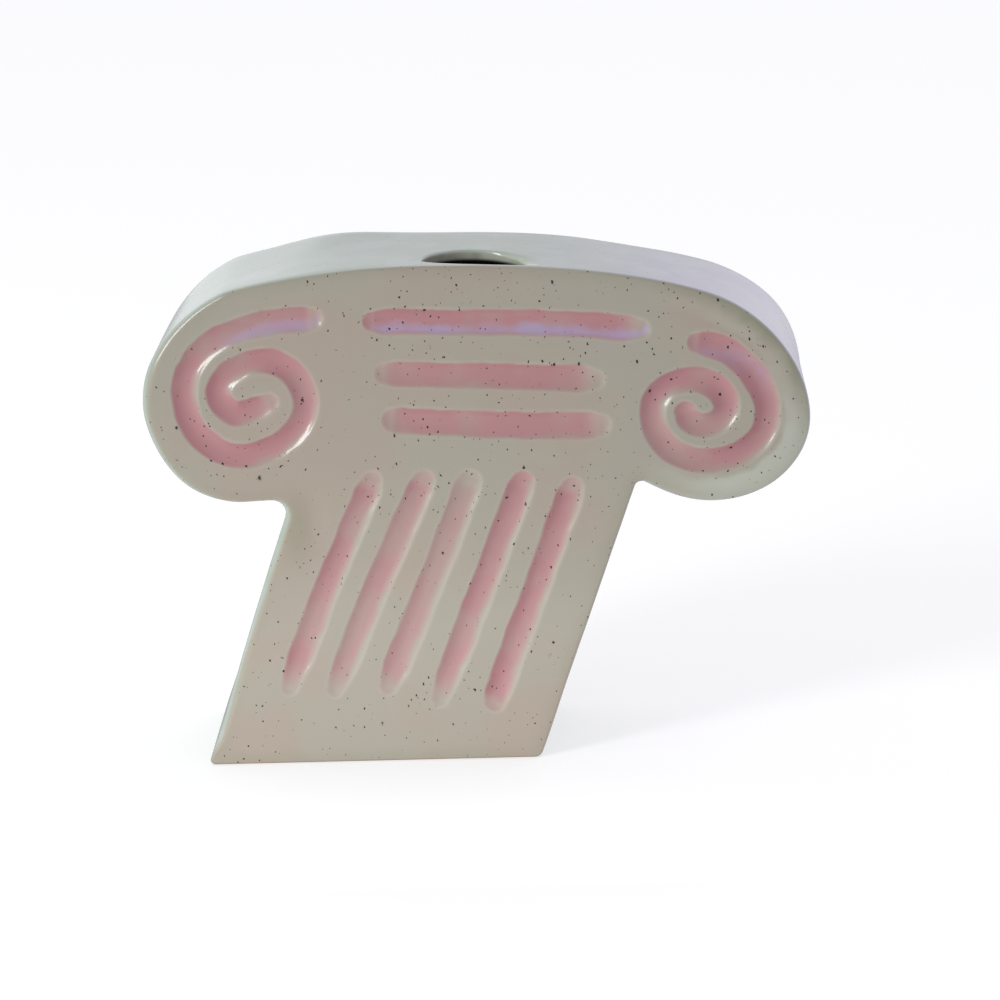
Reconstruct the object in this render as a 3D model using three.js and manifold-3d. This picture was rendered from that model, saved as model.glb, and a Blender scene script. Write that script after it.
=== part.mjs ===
// A small slab-built stoneware vase in the shape of a leaning Ionic capital.
//
// It is one fired piece: a flat, hollow body 48 mm deep, whose front outline is a leaning shaft
// under a broad head that ends in a volute on each side. Two scrolls, three bars and five flutes
// are carved into the front face, and an oval mouth opens through the top of the head.
//
// Frame: X to the right, Y into the depth (the carved face is at -Y), Z up, millimetres.
// The origin is on the ground under the middle of the vase.

import * as THREE from 'three';
import { mergeVertices } from 'three/addons/utils/BufferGeometryUtils.js';
import Module from 'manifold-3d';

const wasm = await Module();
wasm.setup();

// ---- Driving dimensions, in millimetres ----------------------------------------------------

const DEPTH = 48;
const WALL = 4;
const EDGE_ROUND = 1.5;
const FRONT = -DEPTH / 2;

// The shaft leans to the right: its two long edges rise from the ground at these places.
const LEAN = Math.tan(THREE.MathUtils.degToRad(19.6));
const FOOT_LEFT = -88.6;
const FOOT_RIGHT = 15.9;

// Heights at which the shaft runs into the underside of each volute.
const NOTCH_LEFT = 86.6;
const NOTCH_RIGHT = 90.2;

// Radii of the soft corners in the outline.
const ROUND = { footLeft: 2.4, footRight: 3, notchLeft: 4.5, notchRight: 2 };
const CAVITY_FOOT_ROUND = 3;

// The head from the right notch round to the left one. Each Bezier span has two handles and
// the point where it ends, as [x, z].
const HEAD = [
  { handles: [[56, 85.7], [62.2, 82.5]], end: [70.8, 82.5] },
  { handles: [[87.3, 82.5], [100, 93.7]], end: [100, 108] },
  { handles: [[100, 125], [87.8, 139.6]], end: [75, 145.7] },
  { handles: [[62.4, 151.7], [31, 158]], end: [-14, 158] },
  { handles: [[-40, 158], [-70.5, 153.6]], end: [-76, 150.8] },
  { handles: [[-88.5, 144.4], [-100, 134]], end: [-100, 117] },
  { handles: [[-100, 103], [-87.5, 86.4]], end: [-72, 86.4] },
];
const UNDER_LEFT_VOLUTE = new THREE.Vector2(-72, 86.4);
const UNDER_RIGHT_VOLUTE = new THREE.Vector2(56, 85.7);

// The mouth is an upright hole, nearer to the carved face than to the back. Seen from above it is
// half an oval behind a blunter, shallower front side, skewed forwards towards the right.
const MOUTH = { x: 0.6, y: -17, halfWidth: 15.9, toBack: 13.9, toFront: 4, skew: -0.13 };
const MOUTH_FRONT_BLUNTNESS = 0.7;
const MOUTH_BOTTOM = 145;
const MOUTH_TOP = 170;

// Each groove is the track of a round-nosed tool: an arc this wide and this deep.
const GROOVE_DEPTH = 1.5;
const FLUTE_WIDTH = 8.2;
const BAR_WIDTH = 8.2;
const SCROLL_WIDTH = 8;

// Flutes of the shaft, each from its top through its middle to its foot.
const FLUTES = [
  [[-32.5, 91.4], [-47, 59.5], [-61.3, 26.2]],
  [[-16.7, 90.7], [-32, 58.5], [-46.9, 24.9]],
  [[-2.5, 90.4], [-15.9, 58.7], [-29.9, 25.8]],
  [[13.4, 89.9], [-0.4, 56], [-14.4, 21]],
  [[28.1, 87.7], [15.6, 54.3], [2.5, 19.5]],
];

// Bars across the head, between the volutes, from left to right.
const BARS = [
  [[-30, 141.4], [-10, 141], [10, 140.1], [30, 138.8], [50, 136.9]],
  [[-27.3, 125.3], [-5, 124.1], [15, 122.9], [36, 121.6]],
  [[-25.3, 110.4], [-5, 108.8], [15, 107.7], [37, 107.6]],
];

// A scroll winds inwards round its centre. Its radii are given at equal turns from the start,
// anticlockwise for a positive turn. The left one has a straight tail before the scroll starts,
// and ends in a short hook at its eye.
const LEFT_SCROLL = {
  centre: [-68, 119.3],
  start: 110.7,
  turn: 60,
  radii: [20.3, 20.5, 19.5, 17.1, 16.6, 13.1, 9.8, 10, 6.5],
  tail: [[-48.3, 142.9], [-60, 142.3], [-69, 140.6]],
  eye: [[-67.2, 115.6], [-62.6, 117.4]],
};
const RIGHT_SCROLL = {
  centre: [67.8, 111.5],
  start: 93.3,
  turn: -57,
  radii: [20.9, 18.8, 19.8, 16.1, 15.2, 14.3, 10.1, 8.2, 7.2, 5.2, 4.6, 5],
  tail: [],
  eye: [],
};

// How finely round shapes are divided.
const SPAN_STEPS = 9;
const CORNER_STEPS = 4;
const ROUND_STEPS = 3;
const MOUTH_STEPS = 28;
const SECTION_STEPS = 6;
const SCROLL_STEPS = 48;
const SCROLL_POINTS_PER_TURN = 6;
const STRAIGHT_STEPS = 6;
const BALL_STEPS = [16, 10];

// How far a cutting tool stands out of the face, so that it cuts cleanly through it.
const TOOL_CLEARANCE = 0.5;

// ---- Outline -------------------------------------------------------------------------------

const onLeftEdge = (z) => new THREE.Vector2(FOOT_LEFT + LEAN * z, z);
const onRightEdge = (z) => new THREE.Vector2(FOOT_RIGHT + LEAN * z, z);

// Points along the arc that softens a corner between two straight directions.
function corner(from, at, to, radius) {
  const back = from.clone().sub(at).normalize();
  const ahead = to.clone().sub(at).normalize();
  const half = back.angleTo(ahead) / 2;
  const centre = back.clone().add(ahead).setLength(radius / Math.sin(half)).add(at);
  const reach = radius / Math.tan(half);
  const start = back.multiplyScalar(reach).add(at).sub(centre).angle();
  const end = ahead.clone().multiplyScalar(reach).add(at).sub(centre).angle();
  const clockwise = at.clone().sub(from).cross(ahead) < 0;
  const arc = new THREE.EllipseCurve(centre.x, centre.y, radius, radius, start, end, clockwise);
  return arc.getPoints(CORNER_STEPS);
}

// The front outline, counterclockwise from the left foot.
function outline(round) {
  const footLeft = onLeftEdge(0);
  const footRight = onRightEdge(0);
  const notchLeft = onLeftEdge(NOTCH_LEFT);
  const notchRight = onRightEdge(NOTCH_RIGHT);
  const points = [
    ...corner(notchLeft, footLeft, footRight, round.footLeft),
    ...corner(footLeft, footRight, notchRight, round.footRight),
    ...corner(footRight, notchRight, UNDER_RIGHT_VOLUTE, round.notchRight),
  ];
  let start = points.at(-1);
  for (const { handles, end } of HEAD) {
    const [first, second, last] = [...handles, end].map(([x, z]) => new THREE.Vector2(x, z));
    const span = new THREE.CubicBezierCurve(start, first, second, last);
    points.push(...span.getPoints(SPAN_STEPS).slice(1));
    start = last;
  }
  points.push(...corner(UNDER_LEFT_VOLUTE, notchLeft, footLeft, round.notchLeft));
  return points;
}

// Moves a counterclockwise outline inwards by the same distance all round.
function inset(points, distance) {
  return points.map((point, i) => {
    const before = point.clone().sub(points.at(i - 1)).normalize();
    const after = points[(i + 1) % points.length].clone().sub(point).normalize();
    const along = before.add(after).normalize();
    const reach = distance / along.dot(after);
    return new THREE.Vector2(point.x - along.y * reach, point.y + along.x * reach);
  });
}

// ---- Solids --------------------------------------------------------------------------------

// A slab with the given outline, standing up and centred on the XZ plane.
function slab(points, depth, round) {
  const geometry = new THREE.ExtrudeGeometry(new THREE.Shape(points), {
    depth: depth - 2 * round,
    bevelEnabled: round > 0,
    bevelThickness: round,
    bevelSize: round,
    bevelOffset: -round,
    bevelSegments: ROUND_STEPS,
  });
  geometry.translate(0, 0, round - depth / 2);
  return geometry.rotateX(Math.PI / 2);
}

// The upright plug that opens the mouth.
function mouthPlug() {
  const points = [];
  for (let i = 0; i < MOUTH_STEPS; i++) {
    const angle = (2 * Math.PI * i) / MOUTH_STEPS;
    const x = MOUTH.halfWidth * Math.cos(angle);
    const back = Math.max(Math.sin(angle), 0);
    const front = Math.max(-Math.sin(angle), 0) ** MOUTH_FRONT_BLUNTNESS;
    const y = MOUTH.toBack * back - MOUTH.toFront * front + MOUTH.skew * x;
    points.push(new THREE.Vector2(x, y));
  }
  const geometry = new THREE.ExtrudeGeometry(new THREE.Shape(points), {
    depth: MOUTH_TOP - MOUTH_BOTTOM,
    bevelEnabled: false,
  });
  return geometry.translate(MOUTH.x, MOUTH.y, MOUTH_BOTTOM);
}

// Radius of the round tool that cuts a groove of this width to GROOVE_DEPTH.
function toolRadius(width) {
  return (width ** 2 / 4 + GROOVE_DEPTH ** 2) / (2 * GROOVE_DEPTH);
}

// What the tool takes away along a centreline in the front face: the swept arc, and a ball at
// each end. In the section, x points out of the face.
function groove(centreline, width, steps) {
  const radius = toolRadius(width);
  const height = radius - GROOVE_DEPTH;
  const opening = Math.acos((height - TOOL_CLEARANCE) / radius);
  const section = [];
  for (let i = 0; i <= SECTION_STEPS; i++) {
    const angle = opening * ((2 * i) / SECTION_STEPS - 1);
    section.push(new THREE.Vector2(height - radius * Math.cos(angle), radius * Math.sin(angle)));
  }
  const path = new THREE.CatmullRomCurve3(
    centreline.map(([x, z]) => new THREE.Vector3(x, FRONT, z)),
  );
  const track = new THREE.ExtrudeGeometry(new THREE.Shape(section), { steps, extrudePath: path });
  const ends = [centreline[0], centreline.at(-1)].map(([x, z]) => {
    const ball = new THREE.SphereGeometry(radius, ...BALL_STEPS);
    return ball.rotateX(Math.PI / 2).translate(x, FRONT - height, z);
  });
  return [track, ...ends];
}

// Centreline of a scroll: its tail, the winding part, and its eye.
function scroll({ centre, start, turn, radii, tail, eye }) {
  const profile = new THREE.SplineCurve(radii.map((radius, i) => new THREE.Vector2(i, radius)));
  const steps = SCROLL_POINTS_PER_TURN * (radii.length - 1);
  const winding = profile.getPoints(steps).map(({ x: i, y: radius }) => {
    const angle = THREE.MathUtils.degToRad(start + i * turn);
    return [centre[0] + radius * Math.cos(angle), centre[1] + radius * Math.sin(angle)];
  });
  return [...tail, ...winding, ...eye];
}

// A closed geometry as a solid that can be joined and cut.
function solid(geometry) {
  geometry.deleteAttribute('normal');
  geometry.deleteAttribute('uv');
  const { attributes, index } = mergeVertices(geometry);
  return new wasm.Manifold(
    new wasm.Mesh({
      numProp: 3,
      vertProperties: attributes.position.array,
      triVerts: new Uint32Array(index.array),
    }),
  );
}

// ---- The vase ------------------------------------------------------------------------------

function vaseGeometry() {
  const cavityRound = {
    ...ROUND,
    footLeft: CAVITY_FOOT_ROUND + WALL,
    footRight: CAVITY_FOOT_ROUND + WALL,
  };
  const cuts = [
    slab(inset(outline(cavityRound), WALL), DEPTH - 2 * WALL, 0),
    mouthPlug(),
    ...FLUTES.flatMap((line) => groove(line, FLUTE_WIDTH, STRAIGHT_STEPS)),
    ...BARS.flatMap((line) => groove(line, BAR_WIDTH, STRAIGHT_STEPS)),
    ...groove(scroll(LEFT_SCROLL), SCROLL_WIDTH, SCROLL_STEPS),
    ...groove(scroll(RIGHT_SCROLL), SCROLL_WIDTH, SCROLL_STEPS),
  ];
  let body = solid(slab(outline(ROUND), DEPTH, EDGE_ROUND));
  for (const cut of cuts) {
    body = body.subtract(solid(cut));
  }
  const { vertProperties, triVerts } = body.getMesh();
  const geometry = new THREE.BufferGeometry();
  geometry.setAttribute('position', new THREE.BufferAttribute(vertProperties, 3));
  geometry.setIndex(new THREE.BufferAttribute(triVerts, 1));
  geometry.computeVertexNormals();
  return geometry;
}

const glazedStoneware = new THREE.MeshStandardMaterial({
  color: 0xb4afa3,
  roughness: 0.32,
  metalness: 0,
});

const vase = new THREE.Mesh(vaseGeometry(), glazedStoneware);
vase.name = 'vase';

const capital = new THREE.Group();
capital.add(vase);

export default capital;
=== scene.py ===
# %% [markdown]
# # A hollow stoneware vase shaped like a leaning Ionic capital
#
# The vase is one fired piece. Its maker cut two slabs of speckled stoneware to the same outline,
# joined them with a strip of clay 48 mm deep, cut an oval mouth in the top, and carved the front
# face with a loop tool: two scrolls, three bars and five flutes. Then the inside of the carving
# was painted with a pink stain, and the whole vase was dipped in a satin, pale warm-grey glaze.
#
# This lesson builds that one piece as one closed mesh, carves it with Geometry Nodes, and gives it
# a glaze made only of procedural nodes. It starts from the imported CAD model, which is the fixed
# frame: its node "vase" says how large everything is and where it stands.

# %% Load the frame
import math

import bmesh
import bpy
import numpy as np
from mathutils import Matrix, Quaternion, Vector, geometry, kdtree


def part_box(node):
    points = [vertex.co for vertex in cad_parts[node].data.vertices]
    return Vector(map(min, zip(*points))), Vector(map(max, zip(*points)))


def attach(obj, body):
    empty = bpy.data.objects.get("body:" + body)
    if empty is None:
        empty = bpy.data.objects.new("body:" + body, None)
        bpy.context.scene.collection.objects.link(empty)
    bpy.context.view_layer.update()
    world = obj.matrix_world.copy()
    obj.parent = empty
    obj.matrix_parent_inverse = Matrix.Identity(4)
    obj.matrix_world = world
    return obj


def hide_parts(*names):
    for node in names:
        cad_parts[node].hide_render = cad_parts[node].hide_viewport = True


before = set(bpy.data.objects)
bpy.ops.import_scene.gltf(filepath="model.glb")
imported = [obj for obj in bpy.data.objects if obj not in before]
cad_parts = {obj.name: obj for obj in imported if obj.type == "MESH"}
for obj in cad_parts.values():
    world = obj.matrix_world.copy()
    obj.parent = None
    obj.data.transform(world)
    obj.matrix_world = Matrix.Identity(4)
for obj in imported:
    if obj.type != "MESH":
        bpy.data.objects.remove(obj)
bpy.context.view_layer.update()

vase_low, vase_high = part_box("vase")
print("CAD box in mm:", [round(1000 * (high - low)) for low, high in zip(vase_low, vase_high)])

# %% [markdown]
# ## Sizes
#
# Blender works in metres and a potter in millimetres, so the sizes of the clay are in millimetres,
# and `MM` turns them into metres where a mesh or a tree takes them. The depth comes from the
# frame. The outline of the front is a leaning shaft under a head with a volute on each side:
# straight edges, four soft corners, and seven Bezier spans, each with two handles and an end point.

# %% Driving sizes, in millimetres
MM = 0.001
FRONT = vase_low.y / MM
BACK = vase_high.y / MM
WALL = 4.0

LEAN = math.tan(math.radians(19.6))
FOOT_LEFT, FOOT_RIGHT = -88.6, 15.9
NOTCH_LEFT, NOTCH_RIGHT = 86.6, 90.2
CORNER_ROUNDS = {"foot_left": 1.5, "foot_right": 2.6, "notch_right": 2.0, "notch_left": 4.5}
CAVITY_FOOT_ROUND = 7.0

UNDER_RIGHT_VOLUTE = (56.0, 85.7)
UNDER_LEFT_VOLUTE = (-72.0, 86.4)
HEAD_SPANS = [
    [(56, 85.7), (62.2, 82.5), (70.8, 82.5)],
    [(87.3, 82.5), (100, 93.7), (100, 108)],
    [(100, 125), (87.8, 139.6), (75, 145.7)],
    [(62.4, 151.7), (31, 158), (-14, 158)],
    [(-40, 158), (-70.5, 153.6), (-76, 150.8)],
    [(-88.5, 144.4), (-100, 134), (-100, 117)],
    [(-100, 103), (-87.5, 86.4), (-72, 86.4)],
]

# The mouth, seen from above: its centre, half width, how far it reaches to the back and to the
# front, and its skew forwards for each millimetre to the right. Its front side is shallower and
# blunter. It is narrower where it comes out in the hollow. Its lip is soft, and widest on the
# right, where the clay was smeared down into a shallow dish.
MOUTH = dict(x=0.6, y=-17.0, half=15.9, back=13.9, front=4.0, skew=-0.13)
MOUTH_UNDER = dict(x=0.6, y=-15.2, half=15.2, back=12.4, front=3.4, skew=-0.11)
BLUNTNESS = 0.7
LIP = 0.9
LIP_RIGHT = 5.4
LIP_DIP = 1.3

# %% [markdown]
# ## The outline as points
#
# A smooth silhouette needs points close together where it turns and few where it runs straight.
# `corner` makes the arc that softens a corner, and `outline` walks once round the front,
# counterclockwise from the left foot. The hollow inside has the same outline moved in by the
# wall's thickness, and `mitres` gives the direction in which each point has to move for that.

# %% Outline
CURVE_STEP = 1.3
STRAIGHT_STEP = 2.4
CORNER_STEPS = 6
FINE_STEPS = 200


def unit(vector):
    return vector / np.linalg.norm(vector)


def even_steps(fine, step, least):
    """The same line with its points the same distance apart, about one step."""
    along = np.r_[0, np.cumsum(np.linalg.norm(np.diff(fine, axis=0), axis=1))]
    even = np.linspace(0, along[-1], max(least, round(along[-1] / step)) + 1)
    return np.stack([np.interp(even, along, fine[:, k]) for k in (0, 1)], 1)


def corner(before, at, after, radius):
    """The arc that softens the corner at a point between two others."""
    before, at, after = (np.array(p, float) for p in (before, at, after))
    back, ahead = unit(before - at), unit(after - at)
    half = math.acos(np.clip(back @ ahead, -1, 1)) / 2
    centre = at + unit(back + ahead) * radius / math.sin(half)
    reach = radius / math.tan(half)
    start, end = at + back * reach - centre, at + ahead * reach - centre
    first, last = math.atan2(start[1], start[0]), math.atan2(end[1], end[0])
    turn = (last - first + math.pi) % (2 * math.pi) - math.pi
    angles = first + turn * np.linspace(0, 1, CORNER_STEPS + 1)
    return centre + radius * np.stack([np.cos(angles), np.sin(angles)], 1)


def straight(start, end):
    start, end = np.array(start, float), np.array(end, float)
    count = max(2, round(np.linalg.norm(end - start) / STRAIGHT_STEP))
    return start + (end - start) * np.linspace(0, 1, count + 1)[1:-1, None]


def bezier(p0, p1, p2, p3):
    p0, p1, p2, p3 = (np.array(p, float) for p in (p0, p1, p2, p3))
    t = np.linspace(0, 1, FINE_STEPS)[:, None]
    fine = (1 - t) ** 3 * p0 + 3 * (1 - t) ** 2 * t * p1 + 3 * (1 - t) * t**2 * p2 + t**3 * p3
    return even_steps(fine, CURVE_STEP, 3)


def outline(rounds):
    """Once round the front, counterclockwise from the left foot."""
    foot_left, foot_right = (FOOT_LEFT, 0), (FOOT_RIGHT, 0)
    notch_right = (FOOT_RIGHT + LEAN * NOTCH_RIGHT, NOTCH_RIGHT)
    notch_left = (FOOT_LEFT + LEAN * NOTCH_LEFT, NOTCH_LEFT)
    turns = [
        corner(notch_left, foot_left, foot_right, rounds["foot_left"]),
        corner(foot_left, foot_right, notch_right, rounds["foot_right"]),
        corner(foot_right, notch_right, UNDER_RIGHT_VOLUTE, rounds["notch_right"]),
        corner(UNDER_LEFT_VOLUTE, notch_left, foot_left, rounds["notch_left"]),
    ]
    parts = [turns[0], straight(turns[0][-1], turns[1][0]), turns[1]]
    parts += [straight(turns[1][-1], turns[2][0]), turns[2]]
    start = turns[2][-1]
    for first, second, end in HEAD_SPANS:
        parts.append(bezier(start, first, second, end)[1:])
        start = end
    parts += [straight(start, turns[3][0]), turns[3], straight(turns[3][-1], turns[0][0])]
    return np.concatenate(parts)


def mitres(points):
    """How each point of a closed line moves when the whole line moves in by one millimetre."""
    before = points - np.roll(points, 1, 0)
    after = np.roll(points, -1, 0) - points
    before /= np.linalg.norm(before, axis=1)[:, None]
    after /= np.linalg.norm(after, axis=1)[:, None]
    along = before + after
    along /= np.linalg.norm(along, axis=1)[:, None]
    inward = np.stack([-along[:, 1], along[:, 0]], 1)
    return inward / np.sum(along * after, 1)[:, None]


outside = outline(CORNER_ROUNDS)
cavity_rounds = {**CORNER_ROUNDS, "foot_left": CAVITY_FOOT_ROUND, "foot_right": CAVITY_FOOT_ROUND}
cavity_seed = outline(cavity_rounds)[::2]
inside = cavity_seed + mitres(cavity_seed) * WALL
print("outline points:", len(outside), "outside and", len(inside), "inside")

# %% [markdown]
# ## The carved lines
#
# The loop tool was drawn along a scroll on each side, along three bars and down five flutes. Each
# of these tracks is one centreline in the front face. The scrolls are described as a potter would
# draw them: a radius at about every sixth of a turn, winding in towards the eye.
#
# Each line also says how wide the tool cut and over what length it sank in at the start and came
# up at the end (`sinks`), how strongly the pink shows and over what length it fades at either end
# (`fades`), and where a lavender sheen starts and stops and how strong it is. That lavender is
# partly a bluish glaze and partly a painted reflection on the wall that faces up.

# %% Centrelines of the carving, in millimetres
LINE_STEP = 0.85
SCROLL_STEPS = 6
SPAN_STEPS = 24


def catmull_rom(a, b, c, d, t):
    """A smooth way from b to c, for t from 0 to 1, that looks back to a and ahead to d."""
    curve = 2 * b + (c - a) * t + (2 * a - 5 * b + 4 * c - d) * t**2
    return (curve + (3 * b - a - 3 * c + d) * t**3) / 2


def smooth_line(points):
    """A smooth curve through the points, at even steps."""
    points = np.array(points, float)
    padded = np.vstack([2 * points[0] - points[1], points, 2 * points[-1] - points[-2]])
    t = np.linspace(0, 1, SPAN_STEPS, endpoint=False)[:, None]
    fine = [catmull_rom(*four, t) for four in zip(padded, padded[1:], padded[2:], padded[3:])]
    return even_steps(np.vstack([*fine, points[-1:]]), LINE_STEP, 4)


def scroll(centre, start, turn, radii, tail=(), eye=()):
    """Points that wind round a centre from a start angle, with one radius for every turn."""
    radii = np.array(radii, float)
    padded = np.r_[2 * radii[0] - radii[1], radii, 2 * radii[-1] - radii[-2]]
    turns = np.linspace(0, len(radii) - 1, SCROLL_STEPS * (len(radii) - 1) + 1)
    span = np.minimum(turns.astype(int), len(radii) - 2)
    radius = catmull_rom(*(padded[span + k] for k in range(4)), turns - span)
    angle = np.radians(start + turn * turns)
    winding = np.stack([centre[0] + radius * np.cos(angle), centre[1] + radius * np.sin(angle)], 1)
    return [*tail, *winding.tolist(), *eye]


CARVING = [
    dict(
        name="left_scroll", sinks=(6, 8), width=8.0, pink=1.0, fades=(6, 7), lavender=(0, 34, 0.6),
        points=scroll(
            (-68, 119.3), 110.7, 60, [20.3, 20.5, 19.5, 17.1, 16.6, 13.1, 9.8, 10.0, 6.5],
            tail=[(-48.3, 142.9), (-60, 142.3), (-69, 140.6)],
            eye=[(-67.2, 115.6), (-62.6, 117.4)],
        ),
    ),
    dict(
        name="right_scroll", sinks=(8, 6), width=8.0, pink=1.0, fades=(5, 4), lavender=(0, 30, 0.45),
        points=scroll(
            (67.8, 111.5), 93.3, -57,
            [20.9, 18.8, 19.8, 16.1, 15.2, 14.3, 10.1, 8.2, 7.2, 5.2, 4.6, 5.0],
        ),
    ),
    dict(
        name="top_bar", sinks=(7, 9), width=8.2, pink=1.0, fades=(4, 10), lavender=(0, 90, 1),
        points=[(-30, 141.4), (-10, 141.0), (10, 140.1), (30, 138.8), (50, 136.9)],
    ),
    dict(
        name="middle_bar", sinks=(8, 9), width=8.3, pink=0.95, fades=(8, 11), lavender=(0, 0, 0),
        points=[(-27.3, 125.3), (-5, 124.1), (15, 122.9), (36, 121.6)],
    ),
    dict(
        name="bottom_bar", sinks=(6, 7), width=8.7, pink=0.95, fades=(7, 10), lavender=(0, 0, 0),
        points=[(-25.3, 110.4), (-5, 108.8), (15, 107.7), (37, 107.6)],
    ),
    dict(
        name="flute_1", sinks=(7, 16), width=8.3, pink=0.9, fades=(8, 9), lavender=(0, 0, 0),
        points=[(-32.5, 91.4), (-47, 59.5), (-61.6, 25.5)],
    ),
    dict(
        name="flute_2", sinks=(6, 17), width=8.4, pink=0.85, fades=(6, 13), lavender=(0, 0, 0),
        points=[(-16.7, 90.7), (-32, 58.5), (-47.2, 24.2)],
    ),
    dict(
        name="flute_3", sinks=(6, 11), width=8.6, pink=0.7, fades=(13, 9), lavender=(0, 0, 0),
        points=[(-2.5, 90.4), (-15.9, 58.7), (-30.3, 25.0)],
    ),
    dict(
        name="flute_4", sinks=(6, 19), width=8.4, pink=0.9, fades=(4, 13), lavender=(0, 0, 0),
        points=[(13.4, 89.9), (-0.4, 56), (-14.8, 20.0)],
    ),
    dict(
        name="flute_5", sinks=(6, 8), width=8.5, pink=0.95, fades=(7, 7), lavender=(0, 0, 0),
        points=[(28.1, 87.7), (15.6, 54.3), (2.1, 18.4)],
    ),
]
for line in CARVING:
    line["path"] = smooth_line(line["points"])
    line["length"] = LINE_STEP * (len(line["path"]) - 1)
    print(f"{line['name']}: {line['length']:.0f} mm long, {line['width']} mm wide")

# %% [markdown]
# ## Where the face needs points
#
# A carved groove looks smooth only if the mesh has rows of points that run along it, so the face
# is a constrained Delaunay triangulation of chosen points: rows 0.4 mm apart on both sides of
# every centreline, and a wide triangular lattice over the plain clay between them. Where two
# turns of a scroll come close, a point belongs to the nearer line only, so rows never cross.

# %% Points on the front face
ROW_GAP = 0.4
ROW_REACH = 6.2
CLOSEST = 0.3
PLAIN_GAP = 1.9
PLAIN_CLEARANCE = 0.9
CAP_ANGLES = 19
CAP_CORE = 1.5


def distances(points, others):
    """How far each point is from the nearest of the others."""
    tree = kdtree.KDTree(len(others))
    for k, (x, z) in enumerate(others):
        tree.insert((x, 0, z), k)
    tree.balance()
    return np.array([tree.find((x, 0, z))[2] for x, z in points])


def within(points, polygon):
    """A mask of the points inside a closed polygon."""
    x, z = points[:, 0, None], points[:, 1, None]
    x0, z0 = polygon[:, 0], polygon[:, 1]
    x1, z1 = np.roll(x0, -1), np.roll(z0, -1)
    crosses = (z0 > z) != (z1 > z)
    at = x0 + (z - z0) * (x1 - x0) / np.where(z1 == z0, 1e-9, z1 - z0)
    return np.count_nonzero(crosses & (x < at), axis=1) % 2 == 1


def lattice(polygon, gap):
    """A triangular lattice over the whole box of a polygon."""
    low, high = polygon.min(0), polygon.max(0)
    rows = np.arange(low[1], high[1], gap * math.sqrt(3) / 2)
    found = []
    for k, z in enumerate(rows):
        x = np.arange(low[0] + (k % 2) * gap / 2, high[0], gap)
        found.append(np.stack([x, np.full_like(x, z)], 1))
    return np.vstack(found)


def groove_rows(path, other_lines):
    """Points in rows along both sides of a centreline and round its ends."""
    tangent = np.gradient(path, axis=0)
    tangent /= np.linalg.norm(tangent, axis=1)[:, None]
    side = np.stack([-tangent[:, 1], tangent[:, 0]], 1)
    offsets = np.arange(-ROW_REACH, ROW_REACH + 0.01, ROW_GAP)
    rows = (path[:, None] + side[:, None] * offsets[None, :, None]).reshape(-1, 2)
    own = np.abs(np.tile(offsets, len(path)))
    angles = np.linspace(-math.pi / 2, math.pi / 2, CAP_ANGLES)[1:-1]
    caps = []
    for centre, ahead in ((path[0], -tangent[0]), (path[-1], tangent[-1])):
        across = np.array([-ahead[1], ahead[0]])
        for radius in offsets[offsets > ROW_GAP / 2]:
            turn = angles if radius > CAP_CORE else angles[::3]
            spoke = np.cos(turn)[:, None] * ahead + np.sin(turn)[:, None] * across
            caps.append(centre + radius * spoke)
            own = np.r_[own, np.full(len(turn), radius)]
    points = np.vstack([rows, *caps])
    lines = np.vstack([path[::2], *other_lines])
    return points[distances(points, lines) > own - CLOSEST]


def thin_out(points, gap):
    """Drops points that lie closer than the gap to one already kept."""
    kept = {}
    out = []
    for p in points:
        cell = (int(p[0] // gap), int(p[1] // gap))
        close = (
            kept.get((cell[0] + i, cell[1] + j)) for i in (-1, 0, 1) for j in (-1, 0, 1)
        )
        if all(q is None or (q[0] - p[0]) ** 2 + (q[1] - p[1]) ** 2 > gap * gap for q in close):
            kept[cell] = p
            out.append(p)
    return np.array(out)


carved_points = []
for line in CARVING:
    others = [other["path"][::2] for other in CARVING if other is not line]
    carved_points.append(groove_rows(line["path"], others))
carved_points = thin_out(np.vstack(carved_points).tolist(), CLOSEST)
centre_points = np.vstack([line["path"][::2] for line in CARVING])
plain_points = lattice(outside, PLAIN_GAP)
plain_points = plain_points[distances(plain_points, centre_points) > ROW_REACH + PLAIN_CLEARANCE]
face_points = np.vstack([carved_points, plain_points])
print("front face points:", len(face_points))

# %% [markdown]
# ## One closed shell
#
# `shell` makes the outside of a slab-built box from an outline: a front face, a rounded front
# edge, the strip that joins the slabs, a rounded back edge and a back face. The same function
# makes the outside of the vase and, turned inside out, the hollow inside. On the top of the strip
# it leaves an oval hole, and `tunnel` joins the two holes with a soft lip.
#
# Fingers round a clay edge unevenly, so the radius of the rounded edge is a function of which
# way the edge looks: widest on the left, tighter on the right, and crisp along the foot, where
# the vase was cut off its board.

# %% Shell builder
ROUND_STEPS = 6
BAND_ROWS = 14
MOUTH_SIDES = 72
EDGE = {"plain": 1.1, "left": 2.2, "right": -0.1, "foot": 0.8}
FOOT_EDGE_HEIGHT = 1.5
FOOT_EDGE_FADE = 9.0
CAVITY_EDGE = 0.5
BACK_GAP = 3.6
CAVITY_GAP = 5.0
RIM_CLEARANCE = 0.6
TOP_FROM = 120.0
MOUTH_MARGIN = 13.0
MOUTH_GAP = 2.6
MOUTH_CLEARANCE = 0.9
MOUTH_RINGS = (1.1, 2.6)
MOUTH_LATTICE_FROM = 4.2


def smooth_step(t):
    """From 0 to 1, with a soft start and a soft end."""
    t = np.clip(t, 0, 1)
    return t * t * (3 - 2 * t)


def edge_radius(points):
    outward = -mitres(points)
    outward /= np.linalg.norm(outward, axis=1)[:, None]
    radius = EDGE["plain"] + EDGE["left"] * np.clip(-outward[:, 0], 0, 1)
    radius += EDGE["right"] * np.clip(outward[:, 0], 0, 1)
    rise = smooth_step((points[:, 1] - FOOT_EDGE_HEIGHT) / FOOT_EDGE_FADE)
    return EDGE["foot"] + (radius - EDGE["foot"]) * rise


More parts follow.
